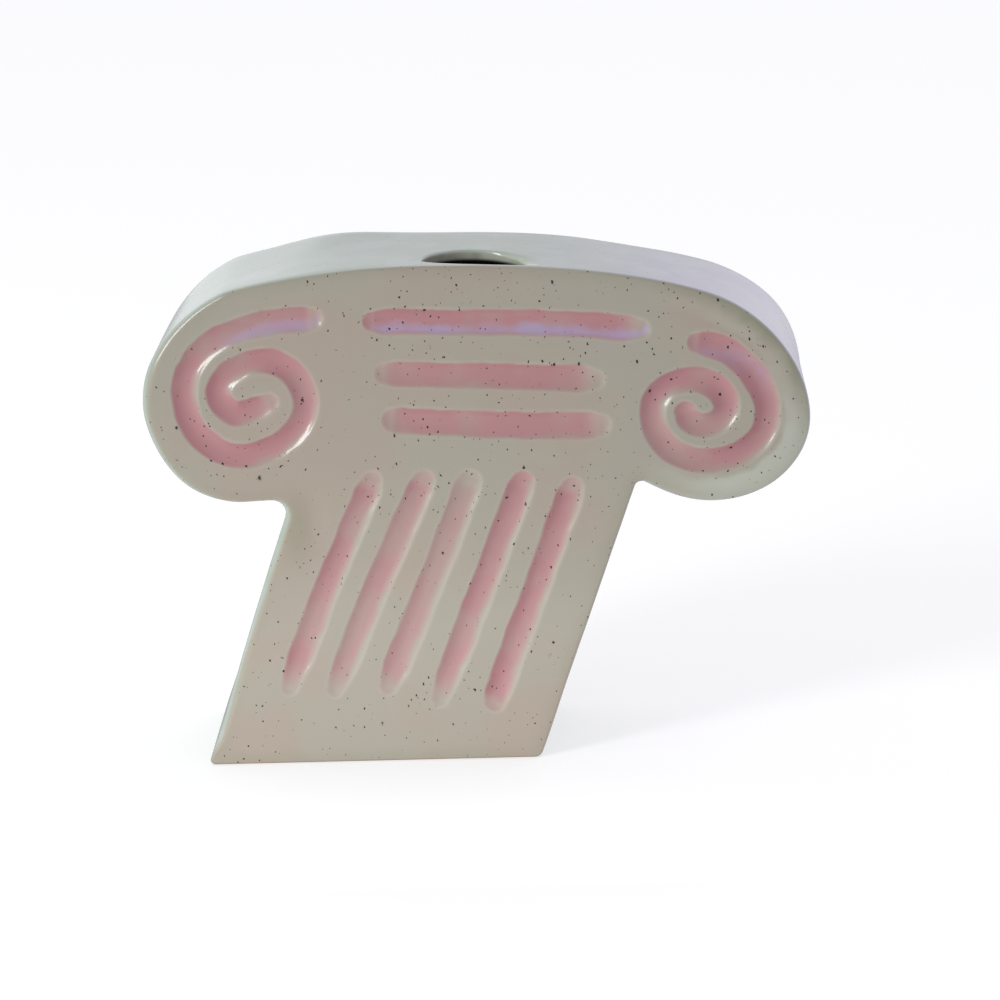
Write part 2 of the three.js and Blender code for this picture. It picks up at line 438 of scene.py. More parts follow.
def mouth_ring(mouth, grow=0.0, right=0.0):
    """The oval of the mouth from above, grown all round and once more on its right."""
    angle = np.linspace(0, 2 * math.pi, MOUTH_SIDES, endpoint=False)
    across, ahead = np.cos(angle), np.sin(angle)
    x = (mouth["half"] + grow + right * np.clip(across, 0, 1) ** 2) * across
    y = (mouth["back"] + grow) * np.clip(ahead, 0, 1)
    y = y - (mouth["front"] + grow) * np.clip(-ahead, 0, 1) ** BLUNTNESS
    return np.stack([mouth["x"] + x, mouth["y"] + y + mouth["skew"] * x], 1)


def along_edges(polygon, pieces=6):
    """The points of a closed polygon, with more between them."""
    share = np.arange(pieces)[:, None, None] / pieces
    return (polygon + (np.roll(polygon, -1, 0) - polygon) * share).reshape(-1, 2)


def triangulate(points, rim, hole=None):
    """Triangles that fill the rim, through the points, leaving the hole open."""
    every, edges = [*points], []
    for loop in [rim] if hole is None else [rim, hole]:
        first = len(every)
        every += [*loop]
        edges += [(first + k, first + (k + 1) % len(loop)) for k in range(len(loop))]
    verts, _, faces, *_ = geometry.delaunay_2d_cdt([Vector(p) for p in every], edges, [], 1, 1e-6)
    verts, faces = np.array([tuple(v) for v in verts]), np.array([list(f) for f in faces])
    if hole is not None:
        faces = faces[~within(verts[faces].mean(1), hole)]
    return verts, faces


class Patchwork:
    """Collects patches of a surface, and welds them where their edges meet."""

    def __init__(self):
        self.verts, self.faces = [], []

    def add(self, verts, faces, flip=False):
        first = len(self.verts)
        self.verts += [tuple(v) for v in verts]
        for face in faces:
            face = [first + int(k) for k in face]
            self.faces.append(face[::-1] if flip else face)

    def strip(self, lower, upper, flip=False):
        """Quads between two closed rings of the same number of points."""
        n = len(lower)
        quads = [(k, (k + 1) % n, n + (k + 1) % n, n + k) for k in range(n)]
        self.add([*lower, *upper], quads, flip)


def stand_up(points, y):
    """Points of the front drawing, as points in space at the depth y."""
    y = np.broadcast_to(y, len(points))
    return np.stack([points[:, 0], y, points[:, 1]], 1)


def shell(patches, points, front, back, radius, hole, gap, face_points=None, flip=False):
    """Both faces of a slab-built box, their rounded edges, and the strip between them."""
    inward = mitres(points)
    angles = np.linspace(0, math.pi / 2, ROUND_STEPS + 1)
    for y, sense in ((front, 1), (back, -1)):
        rings = [
            stand_up(
                points + inward * (radius * (1 - math.cos(a)))[:, None],
                y + sense * radius * (1 - math.sin(a)),
            )
            for a in angles
        ]
        for lower, upper in zip(rings, rings[1:]):
            patches.strip(lower, upper, flip=flip if sense > 0 else not flip)
        rim = rings[-1][:, [0, 2]]
        found = face_points if sense > 0 and face_points is not None else lattice(rim, gap)
        found = found[within(found, rim)]
        found = found[distances(found, along_edges(rim)) > RIM_CLEARANCE]
        verts, faces = triangulate(found, rim)
        patches.add(stand_up(verts, y), faces, flip=flip if sense > 0 else not flip)
    band(patches, points, front + radius, back - radius, hole, flip)


def band(patches, points, front, back, hole, flip):
    """The strip of clay between the slabs: rows of quads, but triangles round the mouth."""
    share = np.linspace(0, 1, BAND_ROWS + 1)[:, None]
    depth = front + (back - front) * share
    rows = [stand_up(points, y) for y in depth]
    beside = np.abs(points[:, 0] - MOUTH["x"]) < MOUTH["half"] + MOUTH_MARGIN
    over = (points[:, 1] > TOP_FROM) & beside
    columns = np.flatnonzero(over)
    n = len(points)
    for lower, upper in zip(rows, rows[1:]):
        quads = [
            (k, n + k, n + (k + 1) % n, (k + 1) % n)
            for k in range(n)
            if not (over[k] and over[(k + 1) % n])
        ]
        patches.add([*lower, *upper], quads, flip)
    x_of, z_of = points[columns, 0][::-1], points[columns, 1][::-1]
    first, last = columns[0], columns[-1]
    loop = [rows[0][k][:2] for k in columns]
    loop += [row[last][:2] for row in rows[1:-1]]
    loop += [rows[-1][k][:2] for k in columns[::-1]]
    loop += [row[first][:2] for row in rows[-2:0:-1]]
    rim = np.array(loop)
    middle = hole.mean(0)
    arms = hole - middle
    spokes = arms / np.linalg.norm(arms, axis=1)[:, None]
    found = lattice(rim, MOUTH_GAP)
    found = found[~within(found, hole + MOUTH_LATTICE_FROM * spokes)]
    found = np.vstack([found, *(hole + out * spokes for out in MOUTH_RINGS)])
    found = found[within(found, rim)]
    found = found[distances(found, along_edges(rim)) > MOUTH_CLEARANCE]
    verts, faces = triangulate(found, rim, hole)
    z = np.interp(verts[:, 0], x_of, z_of)
    patches.add(np.column_stack([verts, z]), faces, not flip)


def top_height(points, x):
    """How high the top of an outline is at each x."""
    top = points[points[:, 1] > TOP_FROM]
    order = np.argsort(top[:, 0])
    return np.interp(x, top[order, 0], top[order, 1])


def tunnel(patches):
    """The rounded lip and the cut thickness of the wall, from the top surface to the hollow."""
    rings = []
    across = np.cos(np.linspace(0, 2 * math.pi, MOUTH_SIDES, endpoint=False))
    dip = LIP + LIP_DIP * np.clip(across, 0, 1) ** 2
    for a in np.linspace(0, math.pi / 2, ROUND_STEPS + 1):
        out = 1 - math.sin(a)
        ring = mouth_ring(MOUTH, LIP * out, LIP_RIGHT * out)
        z = top_height(outside, ring[:, 0]) - dip * (1 - math.cos(a))
        rings.append(np.column_stack([ring, z]))
    ring = mouth_ring(MOUTH_UNDER)
    under = np.column_stack([ring, top_height(inside, ring[:, 0])])
    rings += [rings[-1] + (under - rings[-1]) * share for share in (0.25, 0.5, 0.75, 1)]
    for upper, lower in zip(rings, rings[1:]):
        patches.strip(upper, lower, flip=True)


patches = Patchwork()
opening = mouth_ring(MOUTH, LIP, LIP_RIGHT)
shell(patches, outside, FRONT, BACK, edge_radius(outside), opening, BACK_GAP, face_points)
crease = np.full(len(inside), CAVITY_EDGE)
under_opening = mouth_ring(MOUTH_UNDER)
shell(
    patches, inside, FRONT + WALL, BACK - WALL, crease, under_opening, CAVITY_GAP, flip=True
)
tunnel(patches)
print("patches hold", len(patches.verts), "points and", len(patches.faces), "faces")

# %% [markdown]
# ## Weld it and prove that it is closed
#
# The patches meet edge to edge with equal points, so merging doubles turns them into one skin.
# A vase that is to be printed or weighed has to be watertight, so the next cell counts the edges
# that don't have exactly two faces, and takes the volume, which is positive only when the faces
# look outwards.

# %% Weld the patches
WELD_GAP = 0.02

mesh = bpy.data.meshes.new("vase_body")
mesh.from_pydata([Vector(v) * MM for v in patches.verts], [], patches.faces)
body = bmesh.new()
body.from_mesh(mesh)
bmesh.ops.remove_doubles(body, verts=body.verts, dist=WELD_GAP * MM)
bmesh.ops.recalc_face_normals(body, faces=body.faces)
if body.calc_volume(signed=True) < 0:
    bmesh.ops.reverse_faces(body, faces=body.faces)
loose = [edge for edge in body.edges if len(edge.link_faces) != 2]
print("open edges:", len(loose), "clay volume in cm3:", round(body.calc_volume() * 1e6, 1))
body.to_mesh(mesh)
body.free()
vase = bpy.data.objects.new("vase_body", mesh)
bpy.context.scene.collection.objects.link(vase)

# %% [markdown]
# ## How far a point is from the edge
#
# Glaze gathers and thins along the edge of a face, and a soft clay face sags there. Both need to
# know how far a point of the face is from the outline, so that distance is stored on every point,
# as an attribute that the node trees and the material can read by its name.

# %% Distance from the outline
EDGE_PIECES = 4

flat = np.empty(3 * len(mesh.vertices))
mesh.vertices.foreach_get("co", flat)
clay_points = flat.reshape(-1, 3) / MM
from_edge = distances(clay_points[:, [0, 2]], along_edges(outside, EDGE_PIECES))
mesh.attributes.new("from_edge", "FLOAT", "POINT").data.foreach_set("value", from_edge)
print("farthest from the edge:", round(from_edge.max(), 1), "mm")

# %% [markdown]
# ## Slabs cut by hand
#
# The two slabs weren't cut alike, and the strip was bent to meet both. Each entry of the next list
# is a soft push: where it is centred, how far it reaches, how far it moves the clay sideways and
# up, and its share at the front slab compared with the back one. Walls, hollow and skin move
# together, so the clay keeps its thickness. The carved middle of the face stays put: only what
# lies within a few millimetres of the outline moves.

# %% Push the slabs out of true
PUSHES = [
    dict(centre=(-45, 157), reach=19, move=(0, 2.3), at_front=0),
    dict(centre=(-80, 146), reach=14, move=(-0.8, 1.0), at_front=0.2),
    dict(centre=(50, 154), reach=22, move=(0, -1.1), at_front=0),
    dict(centre=(91, 133), reach=19, move=(2.4, 0.5), at_front=0),
    dict(centre=(-103, 115), reach=23, move=(-1.5, 0), at_front=1),
    dict(centre=(-90, 92), reach=13, move=(-0.9, -1.0), at_front=1),
    dict(centre=(100, 108), reach=16, move=(0.5, 0), at_front=1),
]
RIM_WIDTH = 7.5

share = (clay_points[:, 1] - FRONT) / (BACK - FRONT)
near_rim = smooth_step(1 - from_edge / RIM_WIDTH)
pushed = np.zeros((len(clay_points), 2))
for push in PUSHES:
    gap = np.linalg.norm(clay_points[:, [0, 2]] - push["centre"], axis=1) / push["reach"]
    felt = np.exp(-(gap**2)) * (push["at_front"] + (1 - push["at_front"]) * share)
    felt *= near_rim + (1 - near_rim) * share
    pushed += felt[:, None] * push["move"]
clay_points[:, [0, 2]] += pushed
mesh.vertices.foreach_set("co", (clay_points * MM).ravel())
print("largest push:", round(np.linalg.norm(pushed, axis=1).max(), 2), "mm")

# %% [markdown]
# ## Centrelines for Geometry Nodes
#
# Geometry Nodes can measure the distance from any point to another object, so the tracks of the
# tool become an object of their own: only points and edges, with no faces. Each point carries the
# width and depth of the cut there, how much pink stain it holds, and how much lavender, which is
# partly a bluish glaze and partly a painted reflection. Both fade in and out along a line with a
# smooth step, as paint does where a brush lands and lifts. A cut reaches beyond the end of its
# centreline by the round nose of the tool, so distances start at that tip.
# Where the tool sinks in or comes up its cut is narrower: the chord of a smaller part of its arc.

# %% Centreline object
CUT_DEPTH = 1.5
LEAST_DEPTH = 0.3
TIP = 3.2
SHEEN_IN = 8.0
SHEEN_OUT = 12.0


def both_ends(along, length, ends):
    """A share that rises from 0 at the start of a line and falls back to 0 at its end."""
    rising = smooth_step((along + TIP) / ends[0])
    falling = smooth_step((length - along + TIP) / ends[1])
    return rising * falling


track_points, track_edges = [], []
# The lavender is partly a bluish glaze and partly a painted reflection on the walls that face up.
track = {"cut_width": [], "cut_depth": [], "pink_paint": [], "lavender_paint": []}
for line in CARVING:
    first, count = len(track_points), len(line["path"])
    track_points += [Vector((x, FRONT, z)) * MM for x, z in line["path"]]
    track_edges += [(first + k, first + k + 1) for k in range(count - 1)]
    along = LINE_STEP * np.arange(count)
    begins, ends, strength = line["lavender"]
    lavender_sheen = strength * smooth_step((along - begins + SHEEN_IN / 2) / SHEEN_IN)
    lavender_sheen *= smooth_step((ends - along) / SHEEN_OUT)
    sunk = LEAST_DEPTH + (1 - LEAST_DEPTH) * both_ends(along, line["length"], line["sinks"])
    nose = (line["width"] ** 2 / 4 + CUT_DEPTH**2) / (2 * CUT_DEPTH)
    chord = 2 * np.sqrt(2 * nose * CUT_DEPTH * sunk - (CUT_DEPTH * sunk) ** 2)
    track["cut_width"] += (chord * MM).tolist()
    track["cut_depth"] += sunk.tolist()
    stain = line["pink"] * both_ends(along, line["length"], line["fades"])
    track["pink_paint"] += stain.tolist()
    track["lavender_paint"] += lavender_sheen.tolist()
track_mesh = bpy.data.meshes.new("tool_tracks")
track_mesh.from_pydata(track_points, track_edges, [])
for name, values in track.items():
    track_mesh.attributes.new(name, "FLOAT", "POINT").data.foreach_set("value", values)
tool_tracks = bpy.data.objects.new("tool_tracks", track_mesh)
bpy.context.scene.collection.objects.link(tool_tracks)
print("tool tracks:", len(track_points), "points")

# %% [markdown]
# ## Helpers for node trees
#
# A node tree is easier to read as a list of nodes than as a list of clicks. `add` makes one node,
# with its settings by name and its inputs as plain values, sockets or other nodes. `modifier_tree`
# starts a Geometry Nodes tree with named inputs, `use_tree` puts it on a piece with values for
# those inputs, and `keep_result` turns what the modifiers made into the piece's own mesh.

# %% Node helpers
def add(tree, kind, inputs=(), **settings):
    """Adds one node. An input is a value, a socket, or a node whose first output is meant."""
    node = tree.nodes.new(kind)
    for name, value in settings.items():
        setattr(node, name, value)
    for key, value in inputs.items() if isinstance(inputs, dict) else enumerate(inputs):
        if isinstance(value, bpy.types.Node):
            value = value.outputs[0]
        if isinstance(value, bpy.types.NodeSocket):
            tree.links.new(value, node.inputs[key])
        else:
            node.inputs[key].default_value = value
    return node


def modifier_tree(name, inputs):
    tree = bpy.data.node_groups.new(name, "GeometryNodeTree")
    tree.interface.new_socket("Geometry", in_out="INPUT", socket_type="NodeSocketGeometry")
    tree.interface.new_socket("Geometry", in_out="OUTPUT", socket_type="NodeSocketGeometry")
    for label, kind in inputs.items():
        tree.interface.new_socket(label, in_out="INPUT", socket_type="NodeSocket" + kind)
    return tree, add(tree, "NodeGroupInput").outputs, add(tree, "NodeGroupOutput").inputs


def use_tree(piece, tree, values):
    modifier = piece.modifiers.new(tree.name, "NODES")
    modifier.node_group = tree
    for item in tree.interface.items_tree:
        if item.in_out == "INPUT" and item.name in values:
            modifier[item.identifier] = values[item.name]


def keep_result(piece):
    graph = bpy.context.evaluated_depsgraph_get()
    evaluated = piece.evaluated_get(graph)
    result = bpy.data.meshes.new_from_object(
        evaluated, preserve_all_data_layers=True, depsgraph=graph
    )
    piece.modifiers.clear()
    piece.data = result


# %% [markdown]
# ## The look of the materials
#
# The colours are written as the hex values of a paint chart, and one function turns them into the
# linear values that a renderer works with. Every pattern's size is given in millimetres, and a
# texture's scale is how many of them fit in a metre.

# %% Colour and scale
def linear(hex_colour):
    channels = [int(hex_colour[k : k + 2], 16) / 255 for k in (1, 3, 5)]
    return (*[c / 12.92 if c <= 0.04045 else ((c + 0.055) / 1.055) ** 2.4 for c in channels], 1)


def per_metre(size_mm):
    return 1000 / size_mm


# %% [markdown]
# ## Speckled stoneware under a satin glaze
#
# The real finish is a dipped, semi-opaque pale glaze over a stoneware clay that holds grains of
# iron. Where the glaze lies thick, on the right volute, it turns olive and milky. Its colour there
# also holds painted shade, where the face rolls away from the light, and a painted reflection in
# the milky band. Where it runs thin over the lip of a groove it shows paler. The grains melt
# through it as brown specks: many fine ones, some of half a millimetre, and a few large ones with
# a rusty halo. The pink is a stain painted into the grooves before dipping, so it is strongest
# where the tool cut deep. Painted shade also darkens the dent beside the left notch, the upper left
# walls of the grooves, and the left and the bottom of the mouth's cut wall. Painted light and
# reflections tint the strip and the right of that wall, and partly the lavender walls of grooves.
#
# The tree starts with the attributes that the carving stores, mixes the glaze's own colours, lays
# the stain over them, and the specks over everything. The specks are three Voronoi textures, one
# for each size of grain: a cell's centre is a grain, and the distance to it makes the spot. Noise
# bends the coordinates first, so the spots aren't round.

# %% Glaze material
GLAZE = linear("#a19b8d")
GLAZE_WARM = linear("#a4988a")
# Olive: glaze gathered at the rim, partly painted shade where the face turns from the light.
GLAZE_OLIVE_AND_SHADE = linear("#85866f")
# Milky: thick glaze on the right volute, partly a painted reflection of the light.
GLAZE_MILKY_AND_SHEEN = linear("#b1b2a5")
# The strip's tones: partly cool thick glaze, partly painted light and reflection, lavender to the
# right.
GLAZE_AND_SHEEN_ON_STRIP = linear("#a7b1a4")
LAVENDER_REFLECTION_ON_STRIP = linear("#aaa8b5")
PALE_SHEEN_ON_STRIP = linear("#bac0bf")
GLAZE_THIN = linear("#bcb3a5")
# The mouth's cut wall: painted shade on its left, painted light on its right.
MOUTH_WALL_SHADE = linear("#8b8570")
MOUTH_WALL_LIGHT = linear("#c9ccbd")
# Near-black painted shade, where the mouth's wall meets the dark hollow.
HOLLOW_SHADE = linear("#241e17")
PINK = linear("#b38385")
# Deep pink: partly stain pooled on the upper left walls, partly painted shade there.
PINK_DEEP_AND_SHADED = linear("#9c6468")
# Lavender: partly a bluish glaze, partly a painted reflection on the walls that face up.
LAVENDER_SHEEN = linear("#aa9dbd")
IRON = linear("#1f1611")
RUST = linear("#6a4226")

# Painted shade in the dent beside the left notch, in the olive tone: its centre in metres, and how
# narrow it is each way.
DENT_SHADE_CENTRE = (-0.0565, FRONT * MM, 0.077)
DENT_SHADE_SHAPE = (1.7, 1.0, 0.65)
DENT_SHADE_REACH = (0.012, 0.001)
DENT_SHADE_STRENGTH = 0.4

# Where along X and Z a tone starts and where it is full, and how far from the middle of the depth
# the strip and the mouth's wall start and end, all in metres.
RIGHT_VOLUTE = (0.045, 0.085)
UPPER_HALF = (0.1, 0.132)
LAVENDER_SIDE = (0.01, 0.07)
MOUTH_SHADE_TO_LIGHT = (-0.013, -0.001)
STRIP_DEPTH = (BACK * MM - 0.0003, BACK * MM - 0.0012)
MOUTH_DEPTH = (0.0216, 0.0208)

# The same for tones that follow the edge of the face, in millimetres from that edge, and how far
# the mottle moves the milky and the olive one. The milky band is partly a painted reflection, the
# olive one partly painted shade, and the band that meets the hollow is painted shade.
MILKY_SHEEN_BAND = (11.5, 8.5)
OLIVE_SHADE_BAND = (8.0, 2.6)
STRIP_BAND = (3.6, 2.8)
CUT_BAND = (0.3, 1.3)
HOLLOW_SHADE_BAND = (2.4, 3.3)
RAGGED = 5.0

# For each size of grain: its spacing and largest radius in millimetres, how strong its rusty halo
# is, and the share of the cells that hold one.
GRAINS = [(1.8, 0.33, 0.0, 0.76), (3.5, 0.5, 0.0, 0.7), (11.0, 1.1, 0.35, 0.8)]
NO_GRAIN = 0.001

glaze = bpy.data.materials.new("satin glaze on speckled stoneware")
glaze.use_nodes = True
tree = glaze.node_tree
tree.nodes.clear()
place = add(tree, "ShaderNodeTexCoord").outputs["Object"]
held = {
    name: add(tree, "ShaderNodeAttribute", attribute_name=name).outputs["Fac"]
    for name in ("from_edge", "reach", "lip", "side", "pink", "lavender")
}
cloud = add(tree, "ShaderNodeTexNoise", {"Vector": place, "Scale": per_metre(34), "Detail": 2})
mottle = add(tree, "ShaderNodeTexNoise", {"Vector": place, "Scale": per_metre(9), "Detail": 3})
streak = add(tree, "ShaderNodeTexNoise", {"Vector": place, "Scale": per_metre(16), "Detail": 2})

# The glaze's colour: clouds of a warmer tone, olive where it gathered along the rim of the face,
# and pale where thin. On the right volute the olive is stronger, most on its upper half: painted
# shade where the face rolls away from the light. Beside it lies a milky band, partly thick glaze
# and partly a painted reflection. The olive also fills the dent beside the left notch as painted
# shade. On the strip between the two faces the glaze is cooler and paler, partly thick glaze and
# partly painted light and reflection from the air, with a painted lavender reflection to the right.
warm = add(tree, "ShaderNodeMapRange", [cloud, 0.42, 0.62], interpolation_type="SMOOTHSTEP")
colour = add(tree, "ShaderNodeMix", {0: warm, 6: GLAZE, 7: GLAZE_WARM}, data_type="RGBA")
where = add(tree, "ShaderNodeSeparateXYZ", [place]).outputs
right = add(
    tree, "ShaderNodeMapRange", [where["X"], *RIGHT_VOLUTE], interpolation_type="SMOOTHSTEP"
)
ragged = add(tree, "ShaderNodeMath", [mottle, RAGGED, held["from_edge"]], operation="MULTIPLY_ADD")
# Partly a painted reflection: the milky band beside the right volute's edge.
milky_and_sheen = add(tree, "ShaderNodeMapRange", [ragged, *MILKY_SHEEN_BAND], interpolation_type="SMOOTHSTEP")
upper = add(tree, "ShaderNodeMapRange", [where["Z"], *UPPER_HALF], interpolation_type="SMOOTHSTEP")
lower = add(tree, "ShaderNodeMath", [upper, -0.7, 1.0], operation="MULTIPLY_ADD")
milky_and_sheen = add(tree, "ShaderNodeMath", [milky_and_sheen, right], operation="MULTIPLY")
milky_and_sheen = add(tree, "ShaderNodeMath", [milky_and_sheen, lower], operation="MULTIPLY")
clouded = add(tree, "ShaderNodeMapRange", [streak, 0.36, 0.58, 0.7, 1.2])
milky_and_sheen = add(tree, "ShaderNodeMath", [milky_and_sheen, clouded], operation="MULTIPLY", use_clamp=True)
olive_and_shade = add(tree, "ShaderNodeMapRange", [ragged, *OLIVE_SHADE_BAND], interpolation_type="SMOOTHSTEP")
# Painted shade: the olive is stronger on the upper right volute, whose face rolls away from the
# light.
more = add(tree, "ShaderNodeMath", [right, upper], operation="MULTIPLY")
more = add(tree, "ShaderNodeMath", [more, 0.7, 0.2], operation="MULTIPLY_ADD")
olive_and_shade = add(tree, "ShaderNodeMath", [olive_and_shade, more], operation="MULTIPLY")
# Painted shade in the dent beside the left notch.
dent_shade = add(tree, "ShaderNodeVectorMath", [place, DENT_SHADE_CENTRE], operation="SUBTRACT")
dent_shade = add(tree, "ShaderNodeVectorMath", [dent_shade, DENT_SHADE_SHAPE], operation="MULTIPLY")
dent_shade = add(tree, "ShaderNodeVectorMath", [dent_shade], operation="LENGTH").outputs["Value"]
dent_shade = add(
    tree, "ShaderNodeMapRange", [dent_shade, *DENT_SHADE_REACH, 0.0, DENT_SHADE_STRENGTH],
    interpolation_type="SMOOTHSTEP",
)
depth = add(tree, "ShaderNodeMath", [where["Y"]], operation="ABSOLUTE")
strip = add(tree, "ShaderNodeMapRange", [depth, *STRIP_DEPTH], interpolation_type="SMOOTHSTEP")
outer = add(tree, "ShaderNodeMapRange", [held["from_edge"], *STRIP_BAND])
strip = add(tree, "ShaderNodeMath", [strip, outer], operation="MULTIPLY")
# Painted lavender reflection towards the right of the strip.
tinge = add(
    tree, "ShaderNodeMapRange", [where["X"], *LAVENDER_SIDE], interpolation_type="SMOOTHSTEP"
)
strip_glaze_and_sheen = add(
    tree, "ShaderNodeMix", {0: tinge, 6: GLAZE_AND_SHEEN_ON_STRIP, 7: LAVENDER_REFLECTION_ON_STRIP}, data_type="RGBA"
)
pale = add(
    tree, "ShaderNodeMapRange", [streak, 0.4, 0.68, 0.0, 0.42], interpolation_type="SMOOTHSTEP"
)
strip_glaze_and_sheen = add(
    tree, "ShaderNodeMix", {0: pale, 6: strip_glaze_and_sheen.outputs[2], 7: PALE_SHEEN_ON_STRIP}, data_type="RGBA"
)

# The cut wall of the mouth is mottled, with painted shade on the left and painted light on the
# right. Where it meets the hollow it is painted near-black: painted shade of the dark hollow.
deep = add(tree, "ShaderNodeMapRange", [depth, *MOUTH_DEPTH])
cut_wall = add(tree, "ShaderNodeMapRange", [held["from_edge"], *CUT_BAND])
cut_wall = add(tree, "ShaderNodeMath", [cut_wall, deep], operation="MULTIPLY")
shade = add(tree, "ShaderNodeMapRange", [where["X"], *MOUTH_SHADE_TO_LIGHT])
patchy = add(tree, "ShaderNodeMapRange", [mottle, 0.3, 0.7, -0.45, 0.45])
shade = add(tree, "ShaderNodeMath", [shade, patchy], operation="ADD", use_clamp=True)
cut = add(tree, "ShaderNodeMix", {0: shade, 6: MOUTH_WALL_SHADE, 7: MOUTH_WALL_LIGHT}, data_type="RGBA")
# Painted shade: the bottom of the mouth's wall, near-black like the dark hollow below it.
hollow = add(tree, "ShaderNodeMapRange", [held["from_edge"], *HOLLOW_SHADE_BAND])
hollow = add(tree, "ShaderNodeMath", [hollow, deep], operation="MULTIPLY")
thin = add(tree, "ShaderNodeMath", [held["lip"], 0.2], operation="MULTIPLY")

# The stain: it fills the cut up to a wavering edge, and leaves out the lower right wall.
wavering = add(tree, "ShaderNodeMath", [mottle, 0.5], operation="SUBTRACT")
brink = add(tree, "ShaderNodeMath", [wavering, 0.5, held["reach"]], operation="MULTIPLY_ADD")
painted = add(tree, "ShaderNodeMapRange", [brink, 1.12, 0.82], interpolation_type="SMOOTHSTEP")
wall = add(tree, "ShaderNodeMath", [wavering, 0.9, held["side"]], operation="MULTIPLY_ADD")
far_wall = add(tree, "ShaderNodeMapRange", [wall, -0.98, -0.3], interpolation_type="SMOOTHSTEP")
painted = add(tree, "ShaderNodeMath", [painted, far_wall], operation="MULTIPLY")
brushed = add(tree, "ShaderNodeMapRange", [streak, 0.32, 0.55, 0.62, 1.0])
painted = add(tree, "ShaderNodeMath", [painted, brushed], operation="MULTIPLY")
painted = add(tree, "ShaderNodeMath", [painted, held["pink"]], operation="MULTIPLY")

# It deepens against the upper left wall, most where the paint is heavy: partly stain pooled there,
# partly painted shade on that wall, which faces away from the light. The lavender lies on the other
# wall, which faces up: partly a bluish glaze, partly a painted reflection.
pooled_and_shaded = add(
    tree, "ShaderNodeMapRange", [held["side"], -0.6, 0.9], interpolation_type="SMOOTHSTEP"
)
pooled_and_shaded = add(tree, "ShaderNodeMath", [pooled_and_shaded, streak], operation="MULTIPLY")
heavy = add(tree, "ShaderNodeMath", [held["pink"], 2.5], operation="POWER")
pooled_and_shaded = add(tree, "ShaderNodeMath", [pooled_and_shaded, heavy], operation="MULTIPLY")
stain = add(tree, "ShaderNodeMix", {0: pooled_and_shaded, 6: PINK, 7: PINK_DEEP_AND_SHADED}, data_type="RGBA")
# Painted reflection, partly a bluish glaze: lavender on the lower right wall, which faces up.
lavender_sheen = add(
    tree, "ShaderNodeMapRange", [wall, 0.1, -0.4, 0.0, 0.8], interpolation_type="SMOOTHSTEP"
)
inside_lip = add(tree, "ShaderNodeMapRange", [brink, 1.05, 0.6], interpolation_type="SMOOTHSTEP")
lavender_sheen = add(tree, "ShaderNodeMath", [lavender_sheen, inside_lip], operation="MULTIPLY")
lavender_sheen = add(tree, "ShaderNodeMath", [lavender_sheen, held["lavender"]], operation="MULTIPLY")

# Each layer hides the ones before it by its share.
layers = [
    (milky_and_sheen, GLAZE_MILKY_AND_SHEEN), (olive_and_shade, GLAZE_OLIVE_AND_SHADE), (dent_shade, GLAZE_OLIVE_AND_SHADE), (strip, strip_glaze_and_sheen.outputs[2]),
    (cut_wall, cut.outputs[2]), (hollow, HOLLOW_SHADE), (thin, GLAZE_THIN),
    (painted, stain.outputs[2]), (lavender_sheen, LAVENDER_SHEEN),
]
for cover, tone in layers:
    colour = add(
        tree, "ShaderNodeMix", {0: cover, 6: colour.outputs[2], 7: tone}, data_type="RGBA"
    )

# The specks gather in loose clusters, and fewer show on the strip. A cell that holds no grain
# keeps a radius too small to see.
bend = add(tree, "ShaderNodeTexNoise", {"Vector": place, "Scale": per_metre(0.9), "Detail": 1})
bend = add(
    tree, "ShaderNodeVectorMath", [bend.outputs["Color"], (0.5, 0.5, 0.5)], operation="SUBTRACT"
)
bend = add(tree, "ShaderNodeVectorMath", {0: bend, "Scale": 0.0009}, operation="SCALE")
bent = add(tree, "ShaderNodeVectorMath", [place, bend], operation="ADD")
bent = add(tree, "ShaderNodeVectorMath", [bent, (1.0, 1.0, 0.75)], operation="MULTIPLY")
gather = add(tree, "ShaderNodeTexNoise", {"Vector": place, "Scale": per_metre(15), "Detail": 1})
gather = add(tree, "ShaderNodeMapRange", [gather, 0.3, 0.7, -0.3, 0.3])
fewer = add(tree, "ShaderNodeMath", [strip, 0.35], operation="MULTIPLY")
gather = add(tree, "ShaderNodeMath", [gather, fewer], operation="SUBTRACT")
for spacing, radius, halo, share in GRAINS:
    grains = add(tree, "ShaderNodeTexVoronoi", {"Vector": bent, "Scale": per_metre(spacing)})
    chance = add(tree, "ShaderNodeSeparateColor", [grains.outputs["Color"]])
    chance = add(tree, "ShaderNodeMath", [chance.outputs["Red"], gather], operation="ADD")
    size = add(tree, "ShaderNodeMapRange", [chance, 1 - share, 1.15, 0.35, 1.0])
    held_grain = add(tree, "ShaderNodeMath", [chance, 1 - share], operation="GREATER_THAN")
    size = add(tree, "ShaderNodeMath", [size, held_grain], operation="MULTIPLY")
    size = add(tree, "ShaderNodeMath", [size, radius / spacing, NO_GRAIN], operation="MULTIPLY_ADD")
    edge = add(tree, "ShaderNodeMath", [grains.outputs["Distance"], size], operation="DIVIDE")
    if halo:
        ring = add(
            tree, "ShaderNodeMapRange", [edge, 1.0, 0.35, 0.0, halo],
            interpolation_type="SMOOTHSTEP",
        )
        colour = add(
            tree, "ShaderNodeMix", {0: ring, 6: colour.outputs[2], 7: RUST}, data_type="RGBA"
        )
    spot = add(
        tree, "ShaderNodeMapRange", [edge, 1.0 - halo, 0.7 - halo, 0.0, 0.95],
        interpolation_type="SMOOTHSTEP",
    )
    colour = add(tree, "ShaderNodeMix", {0: spot, 6: colour.outputs[2], 7: IRON}, data_type="RGBA")

